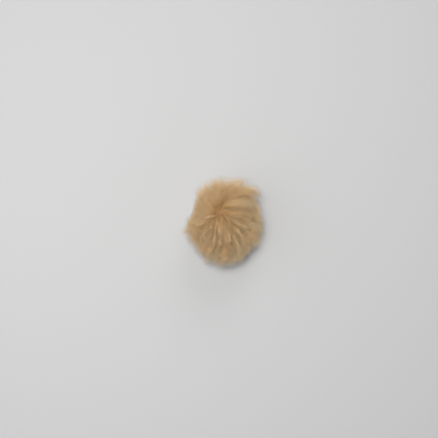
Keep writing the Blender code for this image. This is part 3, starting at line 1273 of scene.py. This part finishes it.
@dataclass
class PomPom:
    """The whole pom pom: the undercoat and the layers of pile over it."""

    whorl: Whorl = field(default_factory=Whorl)
    middle_height: float = 34.0 * MM
    rows: tuple[LockRow, ...] = ROWS
    sweeps: tuple[Sweep, ...] = SWEEPS

    def build(self) -> None:
        """Builds and dresses every piece, from the inside outwards."""
        low, high = (np.array(corner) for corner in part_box(NODE))
        middle = (low + high) / 2.0
        middle[2] = low[2] + self.middle_height
        form = BallForm(self.whorl, ReachMap(NODE, self.whorl, middle), middle)
        undercoat = UndercoatBall(form)
        undercoat.dress(undercoat.build(), MattedUndercoat())
        pile = ModacrylicPile().make()
        layers: list[PileLayer] = [
            # name, form, seed and style; then a row pile's rows, locks, strands in each, tone and gather
            LoosePile("under_pile", form, 11, Layer.UNDER.value, count=7000),
            # tones rise from 0.18 by the whorl to 0.50 in the lower rows and 0.88 in the strays: partly the locks'
            # own tones, partly painted shade deep in the pile around the whorl and painted light on the pale rim
            LockRowPile("locks_by_whorl", form, 21, Layer.GUARD.value, self.rows[:2], 460, 16, 0.18, (0.30, 0.15)),
            LockRowPile("locks_shoulder", form, 22, Layer.GUARD.value, self.rows[2:3], 480, 16, 0.36, (0.40, 0.25)),
            LockRowPile("locks_waist", form, 23, Layer.SKIRT.value, self.rows[3:4], 460, 16, 0.50, (0.40, 0.30)),
            LockRowPile("locks_below", form, 24, Layer.SKIRT.value, self.rows[4:], 470, 15, 0.50, (0.36, 0.30)),
            CombedLocks("combed_locks", form, 41, self.sweeps),
            LoosePile("stray_pile", form, 31, Layer.STRAY.value, count=7600, span_deg=34.0, tone=0.88),
        ]
        for layer in layers:
            layer.dress(layer.build(), pile)


# The set
# -------


def hang(lamp: bpy.types.Light, away: Array, place: Array) -> None:
    """Puts a lamp at its place, facing the set.

    Args:
        lamp: The lamp.
        away: Unit vector from the set towards it.
        place: Where it hangs.
    """
    holder = bpy.data.objects.new(lamp.name, lamp)
    holder.location = place
    holder.rotation_euler = Vector(away).to_track_quat("Z", "Y").to_euler()
    bpy.context.scene.collection.objects.link(holder)


@dataclass(frozen=True)
class SoftLight:
    """A large square lamp that faces the ball."""

    name: str
    azimuth_deg: float
    height_deg: float
    watts: float
    side: float
    distance: float = 1.6

    def build(self, target: Array) -> None:
        """Places the lamp.

        Args:
            target: The point that it faces, and that its azimuth, height and distance are taken from.
        """
        lamp = bpy.data.lights.new(self.name, "AREA")
        lamp.shape, lamp.size, lamp.energy = "SQUARE", self.side, self.watts
        away = direction(self.azimuth_deg, self.height_deg)
        hang(lamp, away, target + away * self.distance)


@dataclass(frozen=True)
class CeilingLight:
    """Broad light from high up, as even over the whole floor as a lit ceiling's is."""

    name: str = "lamp_ceiling"
    azimuth_deg: float = 105.0
    height_deg: float = 78.0
    strength: float = 1.17
    spread_deg: float = 10.0

    def build(self) -> None:
        """Turns the light to shine down from its azimuth and height; only its direction counts."""
        lamp = bpy.data.lights.new(self.name, "SUN")
        lamp.energy, lamp.angle = self.strength, math.radians(self.spread_deg)
        hang(lamp, direction(self.azimuth_deg, self.height_deg), np.zeros(3))


@dataclass
class StudioSet:
    """Paper, lamps, pale walls and camera."""

    floor_side: float = 60.0
    wall_foot: tuple[float, float] = (0.05, 1.60)  # the sine of a height, and how bright the walls are up to there
    wall_top: tuple[float, float] = (0.6, 0.0)  # the same where they end and the dark ceiling starts
    lens_mm: float = 50.0
    clip_start: float = 10.0 * MM
    camera_place: tuple[float, float, float] = (-4.1 * MM, 2.8 * MM, 595.0 * MM)
    target: tuple[float, float, float] = (0.0, 0.0, 30.0 * MM)
    ceiling: CeilingLight = CeilingLight()
    lamps: tuple[SoftLight, ...] = (
        SoftLight("lamp_left", 180.0, 60.0, 0.9, 0.6, distance=0.5),
        SoftLight("lamp_far", 78.0, 40.0, 5.9, 0.8),
        SoftLight("lamp_over", 135.0, 80.0, 3.6, 0.25, distance=0.95),
    )

    def build(self) -> None:
        """Builds the set."""
        self._floor()
        self._walls()
        self._camera()
        self.ceiling.build()
        for lamp in self.lamps:
            lamp.build(np.array(self.target))
        bpy.context.scene.view_settings.view_transform = "Standard"

    def _floor(self) -> None:
        """Lays one flat square of paper under the ball."""
        half = self.floor_side / 2.0
        vertices = np.array([[-half, -half, 0.0], [half, -half, 0.0], [half, half, 0.0], [-half, half, 0.0]])
        floor = mesh_object("paper", vertices, np.arange(4), np.array([4]))
        floor.data.materials.append(PalePaper().make())

    def _walls(self) -> None:
        """Fills the room with light from pale walls, which fades from their foot to their top."""
        world = bpy.data.worlds.new("studio")
        world.use_nodes = True
        tree = world.node_tree
        tree.nodes.clear()
        towards = add_node(tree, "ShaderNodeTexCoord")
        split = add_node(tree, "ShaderNodeSeparateXYZ", inputs={"Vector": towards.outputs["Generated"]})
        stops = [(height, (grey, grey, grey, 1.0)) for height, grey in (self.wall_foot, self.wall_top)]
        ramp = add_node(tree, "ShaderNodeValToRGB", inputs={"Fac": split.outputs["Z"]}, stops=stops)
        light = add_node(tree, "ShaderNodeBackground", inputs={"Color": ramp.outputs["Color"], "Strength": 1.0})
        output = add_node(tree, "ShaderNodeOutputWorld")
        tree.links.new(light.outputs["Background"], output.inputs["Surface"])
        bpy.context.scene.world = world

    def _camera(self) -> None:
        """Hangs the camera over the ball, looking straight down with +Y at the top."""
        lens = bpy.data.cameras.new("camera_over")
        lens.lens, lens.clip_start = self.lens_mm, self.clip_start
        camera = bpy.data.objects.new("camera_over", lens)
        camera.location = self.camera_place
        bpy.context.scene.collection.objects.link(camera)
        bpy.context.scene.camera = camera


def main() -> None:
    """Builds the pom pom and its set."""
    logging.basicConfig(level=logging.INFO, format="%(name)s: %(message)s")
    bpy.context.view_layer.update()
    PomPom().build()
    StudioSet().build()


if __name__ == "__main__":
    main()
